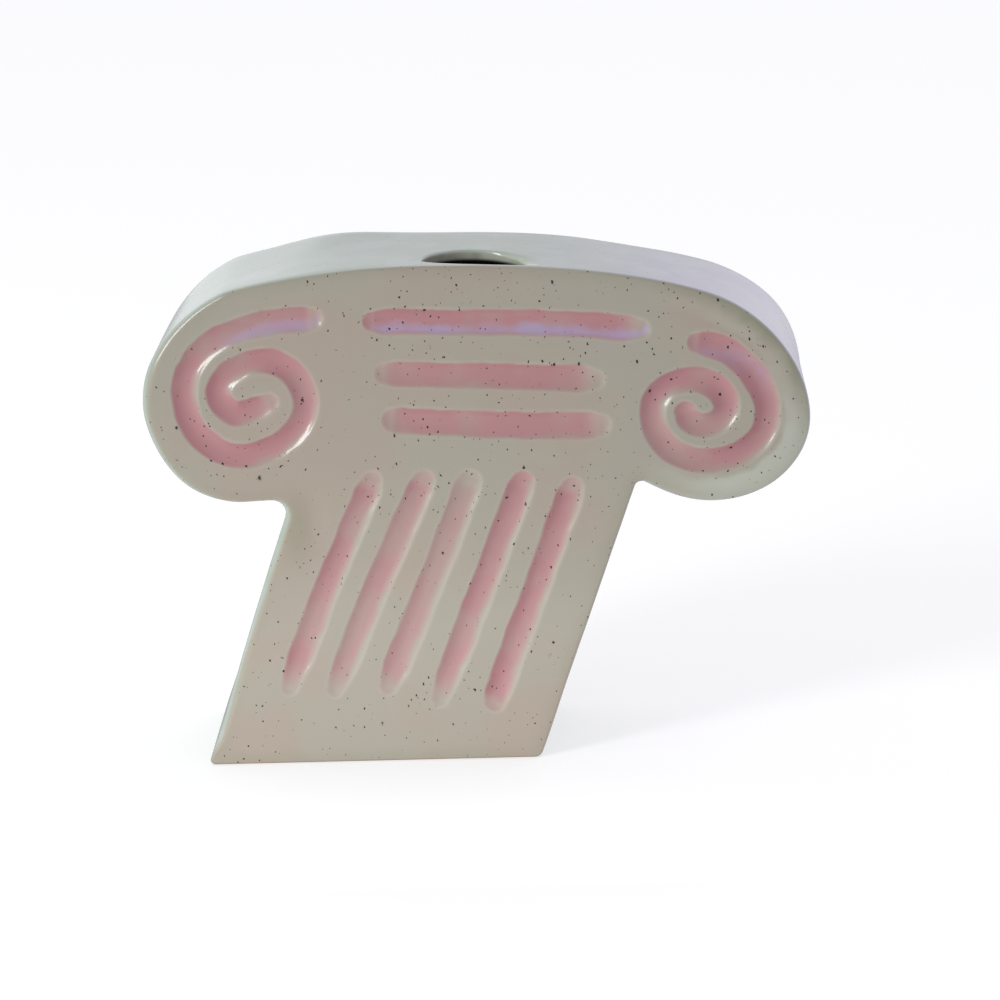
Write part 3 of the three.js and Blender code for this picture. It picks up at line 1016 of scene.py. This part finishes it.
# Satin sheen under a thin glassy coat that is patchy, and a skin like that of an orange.
glassy = add(tree, "ShaderNodeMapRange", [cloud, 0.0, 1.0, 0.4, 1.0])
skin = add(tree, "ShaderNodeTexNoise", {"Vector": place, "Scale": per_metre(7), "Detail": 1})
bump = add(tree, "ShaderNodeBump", {"Strength": 0.15, "Distance": 0.0001, "Height": skin})
glass = add(
    tree, "ShaderNodeBsdfPrincipled",
    {
        "Base Color": colour.outputs[2], "Roughness": 0.26, "Normal": bump, "IOR": 1.5,
        "Coat Weight": glassy, "Coat Roughness": 0.1,
    },
)
add(tree, "ShaderNodeOutputMaterial", [glass])
print("glaze nodes:", len(tree.nodes))

# %% [markdown]
# ## Bare clay under the foot
#
# Glaze would weld a pot to the kiln shelf, so the potter wiped it off the underside. The bare
# stoneware fired to a toasted reddish brown: dry, matt, and a little sandy from its grog.

# %% Foot material
CLAY = linear("#9a7260")
CLAY_DARK = linear("#75503f")
clay = bpy.data.materials.new("bare toasted stoneware, sponged")
clay.use_nodes = True
tree = clay.node_tree
tree.nodes.clear()
place = add(tree, "ShaderNodeTexCoord").outputs["Object"]
toast = add(tree, "ShaderNodeTexNoise", {"Vector": place, "Scale": per_metre(14), "Detail": 4})
grog = add(tree, "ShaderNodeTexNoise", {"Vector": place, "Scale": per_metre(0.8), "Detail": 2})
colour = add(tree, "ShaderNodeMix", {0: toast, 6: CLAY, 7: CLAY_DARK}, data_type="RGBA")
dry = add(tree, "ShaderNodeMapRange", [grog, 0.3, 0.7, 0.78, 0.92])
bump = add(tree, "ShaderNodeBump", {"Strength": 0.5, "Distance": 0.0002, "Height": grog})
matt = add(
    tree, "ShaderNodeBsdfPrincipled",
    {"Base Color": colour.outputs[2], "Roughness": dry, "Normal": bump, "IOR": 1.5},
)
add(tree, "ShaderNodeOutputMaterial", [matt])
print("clay nodes:", len(tree.nodes))

# %% [markdown]
# ## Carve the grooves
#
# A loop tool leaves a cut that is an arc in section. For every point of the front face the tree
# finds the nearest centreline, reads the width and depth of the cut there, and moves the point
# into the clay by the depth of that arc. A smooth maximum instead of a sharp one rounds the lip,
# as the glaze does. Noise makes the width waver, because the cut is made by hand. The tree also
# stores what the material needs: how far the point is from the middle of the cut, which wall it
# is on, how near the lip it is, the pink stain, and the lavender, partly a bluish glaze and partly
# a painted reflection.

# %% Carving tree
# Which way is up and to the left in the face, and two widths in millimetres.
ACROSS_GROOVES = (-0.78, 0.0, 0.62)
LIP_WIDTH = 1.1
FACE_MARGIN = 0.05

tree, given, result = modifier_tree(
    "Carve grooves",
    {
        "Tracks": "Object", "Face": "Float", "Depth": "Float", "Lip softness": "Float",
        "Wobble": "Float", "Wobble size": "Float", "Seed": "Int", "Glaze": "Material",
    },
)
tracks = add(tree, "GeometryNodeObjectInfo", [given["Tracks"]]).outputs["Geometry"]
near = add(tree, "GeometryNodeProximity", {0: tracks}, target_element="EDGES")
index = add(tree, "GeometryNodeSampleNearest", [tracks], domain="POINT")
read = {}
for name in track:
    stored = add(tree, "GeometryNodeInputNamedAttribute", [name], data_type="FLOAT")
    read[name] = add(
        tree, "GeometryNodeSampleIndex", [tracks, stored, index], data_type="FLOAT", domain="POINT"
    )
here = add(tree, "GeometryNodeInputPosition")
repeats = add(tree, "ShaderNodeMath", [1.0, given["Wobble size"]], operation="DIVIDE")
noise = add(
    tree, "ShaderNodeTexNoise",
    {"Vector": here, "W": given["Seed"], "Scale": repeats, "Detail": 1.0}, noise_dimensions="4D",
)
waver = add(tree, "ShaderNodeMapRange", [noise, 0.25, 0.75, -1.0, 1.0])
waver = add(tree, "ShaderNodeMath", [waver, given["Wobble"]], operation="MULTIPLY")
half = add(tree, "ShaderNodeMath", [read["cut_width"], 0.5, waver], operation="MULTIPLY_ADD")
depth = add(tree, "ShaderNodeMath", [read["cut_depth"], given["Depth"]], operation="MULTIPLY")

# The tool's radius follows from the half width and the depth: r = (h^2 + d^2) / 2d.
half_squared = add(tree, "ShaderNodeMath", [half, half], operation="MULTIPLY")
both = add(tree, "ShaderNodeMath", [depth, depth, half_squared], operation="MULTIPLY_ADD")
twice = add(tree, "ShaderNodeMath", [depth, 2.0], operation="MULTIPLY")
radius = add(tree, "ShaderNodeMath", [both, twice], operation="DIVIDE")
away = near.outputs["Distance"]
away_squared = add(tree, "ShaderNodeMath", [away, away], operation="MULTIPLY")
rise = add(tree, "ShaderNodeMath", [radius, radius], operation="MULTIPLY")
rise = add(tree, "ShaderNodeMath", [rise, away_squared], operation="SUBTRACT")
rise = add(tree, "ShaderNodeMath", [rise, 0.0], operation="MAXIMUM")
rise = add(tree, "ShaderNodeMath", [rise], operation="SQRT")
raised = add(tree, "ShaderNodeMath", [radius, depth], operation="SUBTRACT")
arc = add(tree, "ShaderNodeMath", [rise, raised], operation="SUBTRACT")
cut = add(tree, "ShaderNodeMath", [arc, 0.0, given["Lip softness"]], operation="SMOOTH_MAX")

# What the material reads. `side` is +1 at the upper left wall of a cut and -1 at the lower right.
reach = add(tree, "ShaderNodeMath", [away, half], operation="DIVIDE")
across = add(tree, "ShaderNodeVectorMath", [here, near.outputs["Position"]], operation="SUBTRACT")
across = add(
    tree, "ShaderNodeVectorMath", [across, ACROSS_GROOVES], operation="DOT_PRODUCT"
).outputs["Value"]
wall = add(tree, "ShaderNodeMath", [across, half], operation="DIVIDE")
beside = add(tree, "ShaderNodeMath", [away, half], operation="SUBTRACT")
beside = add(tree, "ShaderNodeMath", [beside], operation="ABSOLUTE")
lip = add(
    tree, "ShaderNodeMapRange", [beside, LIP_WIDTH * MM, 0.0], interpolation_type="SMOOTHSTEP"
)

into = add(tree, "ShaderNodeSeparateXYZ", [here]).outputs["Y"]
limit = add(tree, "ShaderNodeMath", [given["Face"], FACE_MARGIN * MM], operation="ADD")
on_face = add(tree, "ShaderNodeMath", [into, limit], operation="LESS_THAN")
skin = given["Geometry"]
kept = {"reach": reach, "side": wall, "lip": lip}
# The lavender stored here is partly a painted reflection on walls that face up.
for name in ("pink", "lavender"):
    paint = read[name + "_paint"]
    kept[name] = add(tree, "ShaderNodeMath", [paint, on_face], operation="MULTIPLY")
for name, value in kept.items():
    skin = add(
        tree, "GeometryNodeStoreNamedAttribute", [skin, True, name, value],
        data_type="FLOAT", domain="POINT",
    )
offset = add(tree, "ShaderNodeCombineXYZ", [0.0, cut, 0.0])
skin = add(
    tree, "GeometryNodeSetPosition", {"Geometry": skin, "Selection": on_face, "Offset": offset}
)
skin = add(tree, "GeometryNodeRealizeInstances", [skin])
skin = add(tree, "GeometryNodeSetMaterial", {"Geometry": skin, "Material": given["Glaze"]})
tree.links.new(skin.outputs[0], result["Geometry"])

use_tree(
    vase, tree,
    {
        "Tracks": tool_tracks, "Face": FRONT * MM, "Depth": CUT_DEPTH * MM,
        "Lip softness": 0.48 * MM, "Wobble": 0.28 * MM, "Wobble size": 8 * MM, "Seed": 4,
        "Glaze": glaze,
    },
)
keep_result(vase)
cut_points = sum(0 < item.value < 1 for item in vase.data.attributes["reach"].data)
print("points inside a cut:", cut_points, "of", len(vase.data.vertices))

# %% [markdown]
# ## Hand-built waviness
#
# Nothing rolled and joined by hand is flat. A slow noise sways the whole body by a third of a
# millimetre, walls and all, and a finer one ripples its skin. The front of the right volute rolls
# back a little towards its edge, and a thumb left a dent beside the left notch. All of it dies
# away near the foot, which was ground flat, and the tree ends by giving the underside its bare
# clay.

# %% Waviness tree
# Noise strays only about a quarter from its middle, so it is scaled up. The dent is this narrow
# each way. How deep in the wall a push is felt and how high the bare underside reaches are in
# millimetres.
NOISE_GAIN = 4.0
DENT_SHAPE = (1.9, 0.3, 0.75)
SKIN_DEPTH = 4.0
UNDERSIDE = 0.4

tree, given, result = modifier_tree(
    "Hand-built waviness",
    {
        "Sway": "Float", "Sway size": "Float", "Ripple": "Float", "Ripple size": "Float",
        "Roll": "Float", "Roll width": "Float", "Roll starts": "Float", "Roll ends": "Float",
        "Dent": "Float", "Dent size": "Float", "Dent centre": "Vector", "Face": "Float",
        "Flat foot": "Float", "Seed": "Int", "Bare clay": "Material",
    },
)
here = add(tree, "GeometryNodeInputPosition")
axis = add(tree, "ShaderNodeSeparateXYZ", [here]).outputs
loose = add(
    tree, "ShaderNodeMapRange", [axis["Z"], 0.0, given["Flat foot"]],
    interpolation_type="SMOOTHSTEP",
)
moved = []
for label, detail in (("Sway", 0.0), ("Ripple", 1.0)):
    repeats = add(tree, "ShaderNodeMath", [1.0, given[label + " size"]], operation="DIVIDE")
    noise = add(
        tree, "ShaderNodeTexNoise",
        {"Vector": here, "W": given["Seed"], "Scale": repeats, "Detail": detail},
        noise_dimensions="4D",
    )
    drift = add(
        tree, "ShaderNodeVectorMath", [noise.outputs["Color"], (0.5, 0.5, 0.5)],
        operation="SUBTRACT",
    )
    reach = add(tree, "ShaderNodeMath", [given[label], NOISE_GAIN], operation="MULTIPLY")
    moved.append(
        add(tree, "ShaderNodeVectorMath", {0: drift, "Scale": reach}, operation="SCALE")
    )
total = add(tree, "ShaderNodeVectorMath", moved, operation="ADD")

edge = add(tree, "GeometryNodeInputNamedAttribute", ["from_edge"], data_type="FLOAT")
edge = add(tree, "ShaderNodeMath", [edge, MM], operation="MULTIPLY")
roll = add(tree, "ShaderNodeMapRange", [edge, given["Roll width"], 0.0])
roll = add(tree, "ShaderNodeMath", [roll, 2.0], operation="POWER")
right = add(
    tree, "ShaderNodeMapRange", [axis["X"], given["Roll starts"], given["Roll ends"]],
    interpolation_type="SMOOTHSTEP",
)
roll = add(tree, "ShaderNodeMath", [roll, right], operation="MULTIPLY")
roll = add(tree, "ShaderNodeMath", [roll, given["Roll"]], operation="MULTIPLY")
gap = add(tree, "ShaderNodeVectorMath", [here, given["Dent centre"]], operation="SUBTRACT")
gap = add(tree, "ShaderNodeVectorMath", [gap, DENT_SHAPE], operation="MULTIPLY")
gap = add(tree, "ShaderNodeVectorMath", [gap], operation="LENGTH").outputs["Value"]
dent = add(
    tree, "ShaderNodeMapRange", [gap, given["Dent size"], 0.0], interpolation_type="SMOOTHERSTEP"
)
dent = add(tree, "ShaderNodeMath", [dent, given["Dent"]], operation="MULTIPLY")
push = add(tree, "ShaderNodeMath", [roll, dent], operation="ADD")
behind = add(tree, "ShaderNodeMath", [given["Face"], SKIN_DEPTH * MM], operation="ADD")
skin_only = add(tree, "ShaderNodeMapRange", [axis["Y"], behind, given["Face"]])
push = add(tree, "ShaderNodeMath", [push, skin_only], operation="MULTIPLY")
push = add(tree, "ShaderNodeCombineXYZ", [0.0, push, 0.0])
total = add(tree, "ShaderNodeVectorMath", [total, push], operation="ADD")
total = add(tree, "ShaderNodeVectorMath", {0: total, "Scale": loose}, operation="SCALE")
skin = add(tree, "GeometryNodeSetPosition", {"Geometry": given["Geometry"], "Offset": total})
skin = add(tree, "GeometryNodeRealizeInstances", [skin])
under = add(tree, "ShaderNodeMath", [axis["Z"], UNDERSIDE * MM], operation="LESS_THAN")
skin = add(
    tree, "GeometryNodeSetMaterial",
    {"Geometry": skin, "Selection": under, "Material": given["Bare clay"]},
)
tree.links.new(skin.outputs[0], result["Geometry"])

use_tree(
    vase, tree,
    {
        "Sway": 0.35 * MM, "Sway size": 48 * MM, "Ripple": 0.04 * MM, "Ripple size": 13 * MM,
        "Roll": 0.6 * MM, "Roll width": 11 * MM, "Roll starts": 35 * MM, "Roll ends": 85 * MM,
        "Dent": 0.35 * MM, "Dent size": 11 * MM,
        "Dent centre": (-50 * MM, FRONT * MM, 79 * MM), "Face": FRONT * MM,
        "Flat foot": 8 * MM, "Seed": 11, "Bare clay": clay,
    },
)
keep_result(vase)
vase.data.shade_smooth()
bpy.data.objects.remove(tool_tracks)
material_of = [face.material_index for face in vase.data.polygons]
for index, material in enumerate(vase.data.materials):
    print(material.name, "on", material_of.count(index), "faces")

# %% [markdown]
# ## Camera
#
# The camera looks slightly down on the vase from the front, through a long lens that keeps its
# sides nearly parallel. It is aimed at a point inside the vase and tilted by two degrees.

# %% Camera
LENS = 108
SENSOR = 36
CAMERA_PLACE = (37.2, -895.9, 357.3)
CAMERA_AIM = (5.22, 0, 77.17)
CAMERA_TILT = -2.15

camera = bpy.data.objects.new("camera", bpy.data.cameras.new("camera"))
bpy.context.scene.collection.objects.link(camera)
bpy.context.scene.camera = camera
camera.data.lens = LENS
camera.data.sensor_width = SENSOR
camera.location = Vector(CAMERA_PLACE) * MM
aim = Vector(CAMERA_AIM) * MM
tilt = Quaternion((0, 0, 1), math.radians(CAMERA_TILT))
camera.rotation_mode = "QUATERNION"
camera.rotation_quaternion = (aim - camera.location).to_track_quat("-Z", "Y") @ tilt
print("camera is", round((aim - camera.location).length, 3), "m from its aim")

# %% [markdown]
# ## Floor, light and air
#
# The set is a plain pale floor under soft studio light. A tall window-like panel on the left gives
# the glaze its thin bright lines, and a low card lifts the foot of the shaft. The glaze doesn't
# mirror the floor, whose horizon would draw a crease along every groove.
#
# The air is an even dim glow with brighter parts: above, behind and at both sides. It is tinted
# faintly green on the left and lavender on the right, and a little dimmer in front to the right,
# so the carved face lies in soft shade. The camera sees plain white behind the vase.

# %% Floor
# The floor's side in metres, and how far it lies under the foot in millimetres.
FLOOR_SIZE = 9
FLOOR_GAP = 0.05
FLOOR_GLOW = 0.5

bpy.ops.mesh.primitive_plane_add(size=FLOOR_SIZE, location=(0, 0, -FLOOR_GAP * MM))
floor = bpy.context.object
floor.name = "floor"
paper = bpy.data.materials.new("white paper")
paper.use_nodes = True
sheet = paper.node_tree.nodes["Principled BSDF"]
sheet.inputs["Base Color"].default_value = linear("#cccccc")
sheet.inputs["Roughness"].default_value = 0.9
sheet.inputs["Emission Color"].default_value = (1, 1, 1, 1)
sheet.inputs["Emission Strength"].default_value = FLOOR_GLOW
floor.data.materials.append(paper)
floor.visible_glossy = False


# %% Lights
def panel(name, place, aim, size, power, colour, mirrored=True):
    """A rectangular light, in metres and watts, that the camera doesn't see."""
    light = bpy.data.lights.new(name, "AREA")
    light.shape = "RECTANGLE"
    light.size, light.size_y = size
    light.energy = power
    light.color = colour
    lamp = bpy.data.objects.new(name, light)
    lamp.location = place
    lamp.rotation_euler = (Vector(aim) - Vector(place)).to_track_quat("-Z", "Y").to_euler()
    lamp.visible_camera = False
    lamp.visible_glossy = mirrored
    bpy.context.scene.collection.objects.link(lamp)


WINDOW = dict(
    place=(-1.1, -0.8, 0.68), aim=(0, 0, 0.1), size=(0.3, 0.9), power=8, colour=(0.97, 0.99, 1)
)
CARD = dict(
    place=(-0.06, -0.12, 0.01), aim=(-0.06, 0, 0.02), size=(0.26, 0.015), power=0.07,
    colour=(0.95, 0.98, 1),
)
panel("window on the left", **WINDOW)
panel("card on the floor", **CARD, mirrored=False)

# The even glow of the air and its tint on either side. Then its brighter parts: the way to each,
# the cosine of the angle to it where it starts and where it is full, and how much it adds.
AIR = 0.33
AIR_LEFT = (0.955, 1.0, 0.985, 1)
AIR_RIGHT = (0.97, 0.93, 1.05, 1)
GLOWS = [
    ((0.0, 0.1, 1.0), -0.1, 0.8, 0.12),
    ((0.0, 0.8, 0.6), 0.2, 0.9, 0.12),
    ((0.88, 0.4, 0.25), 0.2, 0.9, 0.6),
    ((-0.92, 0.25, 0.3), 0.2, 0.9, 0.32),
    ((-0.84, -0.54, 0.05), 0.85, 0.99, 0.5),
    ((-0.26, 0.96, 0.08), 0.965, 0.986, 0.42),
    ((0.75, -0.66, 0.0), 0.3, 0.9, -0.05),
]

world = bpy.data.worlds.new("air")
bpy.context.scene.world = world
world.use_nodes = True
tree = world.node_tree
tree.nodes.clear()
way = add(tree, "ShaderNodeTexCoord").outputs["Generated"]
strength = AIR
for towards, begins, ends, gain in GLOWS:
    part = add(tree, "ShaderNodeVectorMath", [way, towards], operation="DOT_PRODUCT")
    part = add(
        tree, "ShaderNodeMapRange", [part.outputs["Value"], begins, ends, 0.0, gain],
        interpolation_type="SMOOTHSTEP",
    )
    strength = add(tree, "ShaderNodeMath", [strength, part], operation="ADD")
across = add(tree, "ShaderNodeSeparateXYZ", [way]).outputs["X"]
across = add(tree, "ShaderNodeMapRange", [across, -0.6, 0.6])
tint = add(tree, "ShaderNodeMix", {0: across, 6: AIR_LEFT, 7: AIR_RIGHT}, data_type="RGBA")
lit = add(tree, "ShaderNodeBackground", {"Color": tint.outputs[2], "Strength": strength})
plain = add(tree, "ShaderNodeBackground", {"Color": (1, 1, 1, 1), "Strength": 1.0})
seen = add(tree, "ShaderNodeLightPath").outputs["Is Camera Ray"]
air = add(tree, "ShaderNodeMixShader", [seen, lit, plain])
add(tree, "ShaderNodeOutputWorld", [air])
bpy.context.scene.view_settings.view_transform = "Standard"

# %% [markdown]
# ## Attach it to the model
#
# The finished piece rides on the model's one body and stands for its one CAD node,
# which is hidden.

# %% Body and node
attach(vase, "root")
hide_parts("vase")
